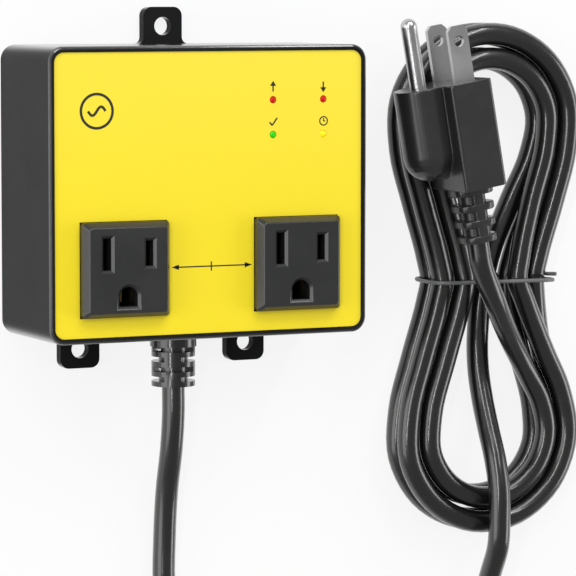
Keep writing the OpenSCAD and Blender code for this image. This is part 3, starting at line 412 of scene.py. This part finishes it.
plug = dict(place=(83.1, 29.8, 24.65), lean=10, length=31.5, relief=16.5, blockWide=13.6,
            blockThick=21.6, blockEdge=0.9, lobe=7.4, lobeX=-11.86, lobeLength=20, neck=5.2, voxel=0.3,
            easing=(0.5, 4), ribs=4, ribThick=2.3, ribWide=12.4, ribNarrow=10.4, ribDepth=10, ribCorner=3.4,
            ribRim=0.5, core=4.1, coreSunk=2, band=3.6, bandInset=0.1, bandEdge=0.7, bandShort=0.2,
            sunk=0.6, arc=15, round=40, crease=40, edgeSteps=6, rimSteps=3)


def plugPlace(x, y, z):
    a = radians(plug["lean"])
    px, py, pz = plug["place"]
    return Vector((px + x * cos(a) - y * sin(a), py + x * sin(a) + y * cos(a), pz + z))


def hankRoute():
    c = cord
    step, layerStep = c["diameter"] + c["strandGap"], c["diameter"] + c["layerGap"]

    def laneZ(layer, y):
        return c["diameter"] / 2 + layer * layerStep + c["lift"] * (1 - min(abs(y) / c["climb"], 1))

    def laneX(y, turn, lean):
        a = radians(lean)
        return (c["fold"] + turn[0] * step - (c["reach"] - sqrt(y * y + c["soft"]**2)) * sin(a)) / cos(a)

    def fold(turn, side, start, end):
        r, made = c["fold"] + turn[0] * step, []
        for i in range(c["foldRings"] + 1):
            a = radians(start + (end - start) * i / c["foldRings"])
            made.append((r * cos(a), side * c["reach"] + r * sin(a), laneZ(turn[1], c["reach"])))
        return made

    route = [(x, y, laneZ(0, y)) for x, y in c["start"]]
    for k, turn in enumerate(c["turns"]):
        before = c["turns"][k - 1]
        for y in c["levels"]:
            if k == 0:
                if y >= 0:
                    route.append((laneX(y, turn, turn[2]), y, laneZ(0, y)))
                continue
            x = laneX(y, before, before[3]) if y < 0 else laneX(y, turn, turn[2])
            layer = before[1] + (turn[1] - before[1]) * (y + c["climb"]) / (2 * c["climb"])
            route.append((x, y, laneZ(layer, y)))
        route += fold(turn, 1, -turn[2], 180 + c["narrow"])
        route += [(-laneX(y, turn, c["narrow"]), y, laneZ(turn[1], y)) for y in reversed(c["levels"])]
        route += fold(turn, -1, 180 - c["narrow"], 360 + turn[3])
    cx, cy = c["centre"]
    return [Vector((x + cx, y + cy, z)) for x, y, z in route]


def tailRoute(start, end):
    leans = [Vector((-sin(radians(a)), cos(radians(a)), 0)) * tail["pull"]
             for a in (cord["wide"], plug["lean"])]
    made = []
    for t, height in tail["steps"]:
        p = start * (2 * t**3 - 3 * t**2 + 1) + leans[0] * (t**3 - 2 * t**2 + t)
        p += end * (3 * t**2 - 2 * t**3) + leans[1] * (t**3 - t**2)
        made.append(Vector((p.x, p.y, height)))
    return made


def makeCord():
    d = cord["diameter"]
    exitPoint = Vector(cord["reliefEnd"])
    far = plugPlace(0, -plug["length"] - plug["relief"], 0)
    hank = hankRoute()
    route = [exitPoint] + [Vector(p) for p in leadPoints] + hank + tailRoute(hank[-1], far)
    route += [plugPlace(0, -plug["length"] - plug["relief"] - d, 0), far]
    points = [p * mm for p in softPath(route, pathSteps)]
    total = sum((b - a).length for a, b in zip(points, points[1:]))
    piece = tubeCurve("mainsCord", points, d / 2 * mm, "cord_rubber", cord["round"])
    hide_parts("cord_lead", "cord_hank", "cord_tail")
    print("cord length", round(total, 4))
    return piece, total


def makeTie():
    tie = dict(thick=1.2, spacing=2.5, round=3,
               points=[(20.75, 7), (20.75, 11.5), (19.5, 14.7), (16.8, 15.95), (6, 15.95), (-6, 15.95),
                       (-16.8, 15.95), (-19.5, 14.7), (-20.75, 11.5), (-20.75, 5), (-19.9, 2),
                       (-17, 0.7), (0, 0.7), (17, 0.7), (19.9, 2), (20.75, 5), (21.2, 9), (22.6, 11.4)])
    last = len(tie["points"]) - 1
    cx, cy = cord["centre"]
    drift = tie["thick"] + cord["layerGap"]
    places = [Vector((cx + x, cy + (i / last - 0.5) * drift, z)) for i, (x, z) in enumerate(tie["points"])]
    route = [places[0]]
    for a, b in zip(places, places[1:]):
        # close points keep the curve from swinging out
        parts = max(1, round((b - a).length / tie["spacing"]))
        route += [a + (b - a) * (k + 1) / parts for k in range(parts)]
    points = [p * mm for p in softPath(route, pathSteps)]
    piece = tubeCurve("twistTie", points, tie["thick"] / 2 * mm, "tie_grey", tie["round"])
    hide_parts("twist_tie")
    return piece


# The plug's moulded body, blended from its simple forms
def standingSlab(bm, wide, thick, start, end, edge, rim=0.0):
    made = bmesh.ops.create_cube(bm, size=1)["verts"]
    bmesh.ops.scale(bm, vec=(wide * mm, (start - end) * mm, thick * mm), verts=made)
    bmesh.ops.translate(bm, vec=(0, (start + end) / 2 * mm, 0), verts=made)

    def rise(e):
        return abs(e.verts[0].co.y - e.verts[1].co.y)

    upright = [e for e in {e for v in made for e in v.link_edges} if rise(e) > touching]
    grown = bmesh.ops.bevel(bm, geom=upright, offset=edge * mm, segments=plug["edgeSteps"],
                            affect="EDGES", profile=0.5, material=-1)
    if rim:
        loops = {e for f in grown["faces"] for v in f.verts for e in v.link_edges if v.is_valid}
        level = [e for e in loops if rise(e) < touching]
        bmesh.ops.bevel(bm, geom=level, offset=rim * mm, segments=plug["rimSteps"], affect="EDGES",
                        profile=0.5, material=-1)


def plugTurn(bm):
    lean = Matrix.Rotation(radians(plug["lean"]), 4, "Z")
    bmesh.ops.recalc_face_normals(bm, faces=bm.faces)
    bmesh.ops.transform(bm, matrix=Matrix.Translation(Vector(plug["place"]) * mm) @ lean, verts=bm.verts)


# Welded before it is turned, so that the voxel grid lies along the faces
def weldForms(mesh, voxel, easing):
    rough = bpy.data.objects.new("plugForms", mesh)
    bpy.context.collection.objects.link(rough)
    weld = rough.modifiers.new("weld", "REMESH")
    weld.mode, weld.voxel_size = "VOXEL", voxel * mm
    ease = rough.modifiers.new("ease", "SMOOTH")
    ease.factor, ease.iterations = easing
    seen = rough.evaluated_get(bpy.context.evaluated_depsgraph_get())
    made = bpy.data.meshes.new_from_object(seen)
    bpy.data.objects.remove(rough)
    return made


def makePlugBody():
    p = plug
    bm = bmesh.new()
    standingSlab(bm, p["blockWide"], p["blockThick"], 0, -p["length"], p["blockEdge"])
    turned = [(0, 0), (p["lobe"], 0), (p["lobe"], -p["lobeLength"])]
    for a in range(p["arc"], 91, p["arc"]):
        r = radians(a)
        turned.append((p["lobe"] * cos(r), -p["lobeLength"] - p["lobe"] * sin(r)))
    ring = [bm.verts.new(((p["lobeX"] + x) * mm, y * mm, 0)) for x, y in turned]
    edges = [bm.edges.new(pair) for pair in zip(ring, ring[1:])]
    bmesh.ops.spin(bm, geom=ring + edges, cent=(p["lobeX"] * mm, 0, 0), axis=(0, 1, 0), angle=2 * pi,
                   steps=p["round"], use_merge=True, use_duplicate=False)
    side = [(0, -p["neck"]), (-p["lobeLength"], -p["neck"])]
    for a in range(p["arc"] - 90, 91 - p["arc"], p["arc"]):
        r = radians(a)
        side.append((-p["lobeLength"] - p["lobe"] * cos(r), p["neck"] * sin(r)))
    side += [(-p["lobeLength"], p["neck"]), (0, p["neck"])]
    face = bm.faces.new([bm.verts.new((p["lobeX"] * mm, y * mm, z * mm)) for y, z in side])
    pushed = bmesh.ops.extrude_face_region(bm, geom=[face])["geom"]
    moved = [g for g in pushed if isinstance(g, bmesh.types.BMVert)]
    bmesh.ops.translate(bm, vec=(-p["lobeX"] * mm, 0, 0), verts=moved)
    bmesh.ops.remove_doubles(bm, verts=bm.verts, dist=touching)
    bmesh.ops.recalc_face_normals(bm, faces=bm.faces)
    welded = weldForms(toMesh(bm, "plugForms"), p["voxel"], p["easing"])
    bm = bmesh.new()
    bm.from_mesh(welded)
    plugTurn(bm)
    piece = addPiece("plugBody", toMesh(bm, "plugBody"), "plug_rubber")
    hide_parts("plug_body")
    return piece


# Ribbed strain relief behind the plug: four ribs on a core, tied by a spine on each broad side
def makePlugRelief():
    p = plug
    bm = bmesh.new()
    foot = -p["length"]
    tip = foot - p["relief"]
    deep = p["relief"] + p["coreSunk"]
    core = bmesh.ops.create_cone(bm, cap_ends=True, segments=p["round"], radius1=p["core"] * mm,
                                 radius2=p["core"] * mm, depth=deep * mm)["verts"]
    bmesh.ops.rotate(bm, matrix=Matrix.Rotation(pi / 2, 3, "X"), verts=core)
    bmesh.ops.translate(bm, vec=(0, (tip + deep / 2) * mm, 0), verts=core)
    pitch = (p["relief"] - p["ribThick"]) / (p["ribs"] - 1)
    for i in range(p["ribs"]):
        wide = p["ribWide"] + (p["ribNarrow"] - p["ribWide"]) * i / (p["ribs"] - 1)
        start = foot - i * pitch
        standingSlab(bm, wide, p["ribDepth"], start + (0 if i else p["sunk"]), start - p["ribThick"],
                     p["ribCorner"], p["ribRim"])
    standingSlab(bm, p["band"], p["ribDepth"] - p["bandInset"], foot + p["sunk"], tip + p["bandShort"],
                 p["bandEdge"])
    plugTurn(bm)
    piece = addPiece("plugRelief", toMesh(bm, "plugRelief"), "plug_rubber", smoothSides=False)
    shadeByAngle(piece.data, p["crease"])
    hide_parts("plug_body")
    return piece


cordPiece, cordTotal = makeCord()
tiePiece = makeTie()
plugPiece = makePlugBody()
reliefPiece = makePlugRelief()
print("cord, tie and plug made")


# Socket mouldings, copied from the CAD nodes: a broad bevel all round and rounded corners
def makeReceptacle(node, name):
    form = dict(bevel=1.37, fall=2.1, corner=1.0, edge=0.22, join=0.02, flat=0.5, faceDeep=0.1,
                close=0.01, loose=0.05, upright=0.5, sharp=20, slotsFrom=-2.2, cornerSteps=4,
                edgeSteps=2)
    low, high = [Vector(corner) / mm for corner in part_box(node)]
    bm = bmesh.new()
    bm.from_mesh(bpy.data.objects[node].data)
    bmesh.ops.remove_doubles(bm, verts=bm.verts, dist=form["join"] * mm)
    bmesh.ops.dissolve_limit(bm, angle_limit=radians(form["flat"]), verts=bm.verts, edges=bm.edges)
    centre, half = (low + high) / 2, (high - low) / 2
    face = high.z - form["faceDeep"]
    foot = high.z - form["fall"]

    def away(v):
        return abs(v.co.x / mm - centre.x), abs(v.co.y / mm - centre.y)

    top = [away(v) for v in bm.verts if v.co.z > face * mm]
    reach = Vector([max(parts) for parts in zip(*top)])
    step = half.x - reach.x  # the bevel that the CAD node has
    shift = form["bevel"] - step
    for v in bm.verts:
        x, y, z = v.co / mm - Vector((centre.x, centre.y, 0))
        pastX, pastY = abs(x) > reach.x - form["close"], abs(y) > reach.y - form["close"]
        atSide = abs(x) > half.x - form["loose"] or abs(y) > reach.y + step - form["loose"]
        if z > face and (pastX or pastY):
            x -= shift * (1 if x > 0 else -1) * pastX
            y -= shift * (1 if y > 0 else -1) * pastY
        elif abs(z - (high.z - step)) < form["loose"] and atSide:
            z = foot
        v.co = Vector((x + centre.x, y + centre.y, z)) * mm
    sides = reach + Vector((step, step))

    def outside(v, inset):
        return all(abs(far - (side - inset)) < form["join"] for far, side in zip(away(v), sides))

    ends = [v for v in bm.verts if abs(v.co.z / mm - foot) < form["close"] and outside(v, 0)]
    corners = [e for v in ends for e in v.link_edges
               if outside(e.other_vert(v), 0) or outside(e.other_vert(v), form["bevel"])]
    corners = [e for e in corners if abs(e.verts[0].co.z - e.verts[1].co.z) > form["upright"] * mm]
    bmesh.ops.bevel(bm, geom=corners, offset=form["corner"] * mm, segments=form["cornerSteps"],
                    affect="EDGES", profile=0.5, material=-1)
    rims = []
    for e in bm.edges:
        lifts = [v.co.z / mm for v in e.verts]
        level = any(max(abs(part - lift) for part in lifts) < form["close"] for lift in (foot, high.z))
        if level and len(e.link_faces) == 2 and e.calc_face_angle(0) > radians(form["sharp"]):
            past = [far - limit for v in e.verts for far, limit in zip(away(v), reach)]
            if max(past) > form["slotsFrom"]:
                rims.append(e)
    bmesh.ops.bevel(bm, geom=rims, offset=form["edge"] * mm, segments=form["edgeSteps"], affect="EDGES",
                    profile=0.5, material=-1)
    piece = addPiece(name, toMesh(bm, name), "socket_plastic", smoothSides=False)
    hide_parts(node)
    return piece


for side in ("left", "right"):
    makeReceptacle(side + "_receptacle", side + "Socket")
print("sockets made")


# Housing's strain relief, copied from the CAD node with its moulded edges eased
def makeCordRelief():
    form = dict(edge=0.28, steps=2, angle=35, join=0.01, flat=0.5)
    bm = bmesh.new()
    bm.from_mesh(bpy.data.objects["cord_strain_relief"].data)
    bmesh.ops.remove_doubles(bm, verts=bm.verts, dist=form["join"] * mm)
    bmesh.ops.dissolve_limit(bm, angle_limit=radians(form["flat"]), verts=bm.verts, edges=bm.edges)
    bmesh.ops.recalc_face_normals(bm, faces=bm.faces)
    piece = addPiece("cordRelief", toMesh(bm, "cordRelief"), slotOf["cord_strain_relief"],
                     smoothSides=False)
    soften = piece.modifiers.new("soften", "BEVEL")
    soften.limit_method, soften.angle_limit = "ANGLE", radians(form["angle"])
    soften.width, soften.segments = form["edge"] * mm, form["steps"]
    shadeByAngle(piece.data, form["angle"])
    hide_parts("cord_strain_relief")


makeCordRelief()
print("strain relief made")


# Inner wires, rounded from copies of the CAD nodes' six-sided runs
def makeWire(node, name):
    form = dict(swell=0.22, join=0.01, rounds=2)  # the swell makes up for what the subdivision takes off
    bm = bmesh.new()
    bm.from_mesh(bpy.data.objects[node].data)
    bmesh.ops.remove_doubles(bm, verts=bm.verts, dist=form["join"] * mm)
    bmesh.ops.recalc_face_normals(bm, faces=bm.faces)
    bmesh.ops.join_triangles(bm, faces=bm.faces, angle_face_threshold=pi, angle_shape_threshold=pi)
    bm.normal_update()
    ways = [v.normal.copy() for v in bm.verts]
    for v, way in zip(bm.verts, ways):
        v.co += way * form["swell"] * mm
    piece = addPiece(name, toMesh(bm, name), slotOf[node])
    rounding = piece.modifiers.new("rounding", "SUBSURF")
    rounding.levels = rounding.render_levels = form["rounds"]
    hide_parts(node)


for colour in ("line", "neutral", "ground", "switched"):
    makeWire(colour + "_wire", colour + "Wire")
print("inner wires made")


# Print on the label: plain signs only
def flatPiece(bm, outline, low, high):
    verts = [bm.verts.new((x * mm, y * mm, low * mm)) for x, y in outline]
    face = bm.faces.new(verts)
    pushed = bmesh.ops.extrude_face_region(bm, geom=[face])["geom"]
    moved = [g for g in pushed if isinstance(g, bmesh.types.BMVert)]
    bmesh.ops.translate(bm, vec=(0, 0, (high - low) * mm), verts=moved)


def stroke(bm, start, end, wide, low, high):
    a, b = Vector(start), Vector(end)
    n = (b - a).normalized().orthogonal() * (wide / 2)
    flatPiece(bm, [a + n, a - n, b - n, b + n], low, high)


def ringStroke(bm, centre, radius, wide, low, high, steps=48):
    cx, cy = centre
    rim = [(cos(2 * pi * i / steps), sin(2 * pi * i / steps)) for i in range(steps)]
    inner, outer = radius - wide / 2, radius + wide / 2
    loops = []
    for r, z in ((inner, low), (outer, low), (outer, high), (inner, high)):
        loops.append([bm.verts.new(((cx + r * x) * mm, (cy + r * y) * mm, z * mm)) for x, y in rim])
    for first, second in zip(loops, loops[1:] + loops[:1]):
        for i in range(steps):
            j = (i + 1) % steps
            bm.faces.new((first[i], first[j], second[j], second[i]))


def makePrint():
    ink = dict(low=36.48, high=36.53, line=0.36, signs=0.42)
    arrow = dict(y=-20.6, left=-12.0, right=12.6, head=2.2, half=0.75, overlap=1, tickX=0.1, tick=1.3)
    ring = dict(centre=(-34.3, 23.2), radius=4.7, wide=0.75, wave=2.6, height=1.25, steps=12)
    pointer = dict(ways=((19.2, 1), (34.9, -1)), y=29.2, tail=1.3, neck=0.6, base=0.3, tip=1.7, half=0.95)
    tick = [(18.1, 19.3), (18.9, 18.4), (20.5, 20.5)]
    clock = dict(centre=(35.0, 19.4), radius=1.2, wide=0.34, steps=32, hand=0.3,
                 hands=[((35.0, 19.3), (35.0, 20.25)), ((34.9, 19.4), (35.6, 19.4))])
    lo, hi = ink["low"], ink["high"]
    bm = bmesh.new()

    stroke(bm, (arrow["left"] + arrow["overlap"], arrow["y"]),
           (arrow["right"] - arrow["overlap"], arrow["y"]), ink["line"], lo, hi)
    for tip, way in ((arrow["left"], 1), (arrow["right"], -1)):
        flatPiece(bm, [(tip, arrow["y"]), (tip + way * arrow["head"], arrow["y"] + arrow["half"]),
                       (tip + way * arrow["head"], arrow["y"] - arrow["half"])], lo, hi)
    stroke(bm, (arrow["tickX"], arrow["y"] - arrow["tick"]), (arrow["tickX"], arrow["y"] + arrow["tick"]),
           ink["line"], lo, hi)

    ringStroke(bm, ring["centre"], ring["radius"], ring["wide"], lo, hi)
    cx, cy = ring["centre"]
    shares = [i / ring["steps"] - 1 for i in range(2 * ring["steps"] + 1)]
    wave = [(cx + ring["wave"] * share, cy + ring["height"] * sin(pi * share)) for share in shares]
    for a, b in zip(wave, wave[1:]):
        stroke(bm, a, b, ring["wide"], lo, hi)

    for x, way in pointer["ways"]:
        y, half, base = pointer["y"], pointer["half"], pointer["y"] + way * pointer["base"]
        stroke(bm, (x, y - way * pointer["tail"]), (x, y + way * pointer["neck"]), ink["signs"], lo, hi)
        flatPiece(bm, [(x - half, base), (x, y + way * pointer["tip"]), (x + half, base)], lo, hi)
    for a, b in zip(tick, tick[1:]):
        stroke(bm, a, b, ink["signs"], lo, hi)
    ringStroke(bm, clock["centre"], clock["radius"], clock["wide"], lo, hi, clock["steps"])
    for a, b in clock["hands"]:
        stroke(bm, a, b, clock["hand"], lo, hi)

    bmesh.ops.recalc_face_normals(bm, faces=bm.faces)
    addPiece("labelPrint", toMesh(bm, "labelPrint"), "chip_black", smoothSides=False)


makePrint()
print("print made")


# Floor, world and lamps
def makeStage():
    paper = dict(size=3, drop=0.0002, dark=(0.93, 0.93, 0.93), light=(0.95, 0.95, 0.95), fine=700,
                 fineDetail=2, rough=0.9, shine=0.1, cameraShare=0.85, glossShare=0.6, world=0.29)
    bm = bmesh.new()
    bmesh.ops.create_grid(bm, x_segments=1, y_segments=1, size=paper["size"])
    bmesh.ops.translate(bm, vec=(0, 0, -paper["drop"]), verts=bm.verts)
    floor = bpy.data.objects.new("floor", toMesh(bm, "floor"))
    bpy.context.collection.objects.link(floor)
    mat = Finish("floorPaper")
    fine = mat.grain(paper["fine"], paper["fineDetail"])
    mat.set(baseColor=mat.mix(fine, paper["dark"], paper["light"]), roughness=paper["rough"])
    mat.shader.inputs["Specular IOR Level"].default_value = paper["shine"]
    camera = mat.node("ShaderNodeLightPath", out="Is Camera Ray")
    gloss = mat.node("ShaderNodeLightPath", out="Is Glossy Ray")
    seen = camera * paper["cameraShare"] + gloss * paper["glossShare"]
    glow = mat.node("ShaderNodeEmission", None, {"Color": (1, 1, 1, 1), "Strength": 1.0})
    both = mat.node("ShaderNodeMixShader", None, {0: seen, 1: Val(mat, mat.shader.outputs[0]), 2: glow})
    mat.tree.links.new(both.socket, mat.output.inputs[0])
    floor.data.materials.append(mat.data)

    world = bpy.data.worlds.new("studio")
    world.use_nodes = True
    bpy.context.scene.world = world
    sky = world.node_tree.nodes["Background"].inputs
    sky["Color"].default_value = (1, 1, 1, 1)
    sky["Strength"].default_value = paper["world"]


def makeLamp(name, place, target, size, power):
    data = bpy.data.lights.new(name, "AREA")
    data.shape = "RECTANGLE"
    data.size, data.size_y = size
    data.energy = power
    lamp = bpy.data.objects.new(name, data)
    aim = (Vector(target) - Vector(place)).to_track_quat("-Z", "Y").to_matrix().to_4x4()
    lamp.matrix_world = Matrix.Translation(Vector(place)) @ aim
    bpy.context.collection.objects.link(lamp)


makeStage()
lamps = [
    dict(name="topSoftbox", place=(-0.05, 1.0, 0.8), target=(0.03, 0, 0), size=(1.0, 0.4), power=5.0),
    dict(name="leftSoftbox", place=(-1.25, 0.0, 0.46), target=(0.03, 0, 0.02), size=(1.2, 0.88), power=7.4),
    dict(name="rightSoftbox", place=(1.2, -0.1, 0.55), target=(0.1, 0, 0.02), size=(1.0, 0.45), power=4.9),
    dict(name="frontStrip", place=(-0.62, 0.25, 0.95), target=(0.05, 0, 0), size=(1.1, 0.06), power=4.4),
    dict(name="topStrip", place=(0.45, 0.8, 0.8), target=(0.08, 0, 0), size=(0.07, 0.9), power=3.0),
]
for row in lamps:
    makeLamp(**row)
bpy.context.scene.view_settings.view_transform = "Standard"
print("stage and lamps set")
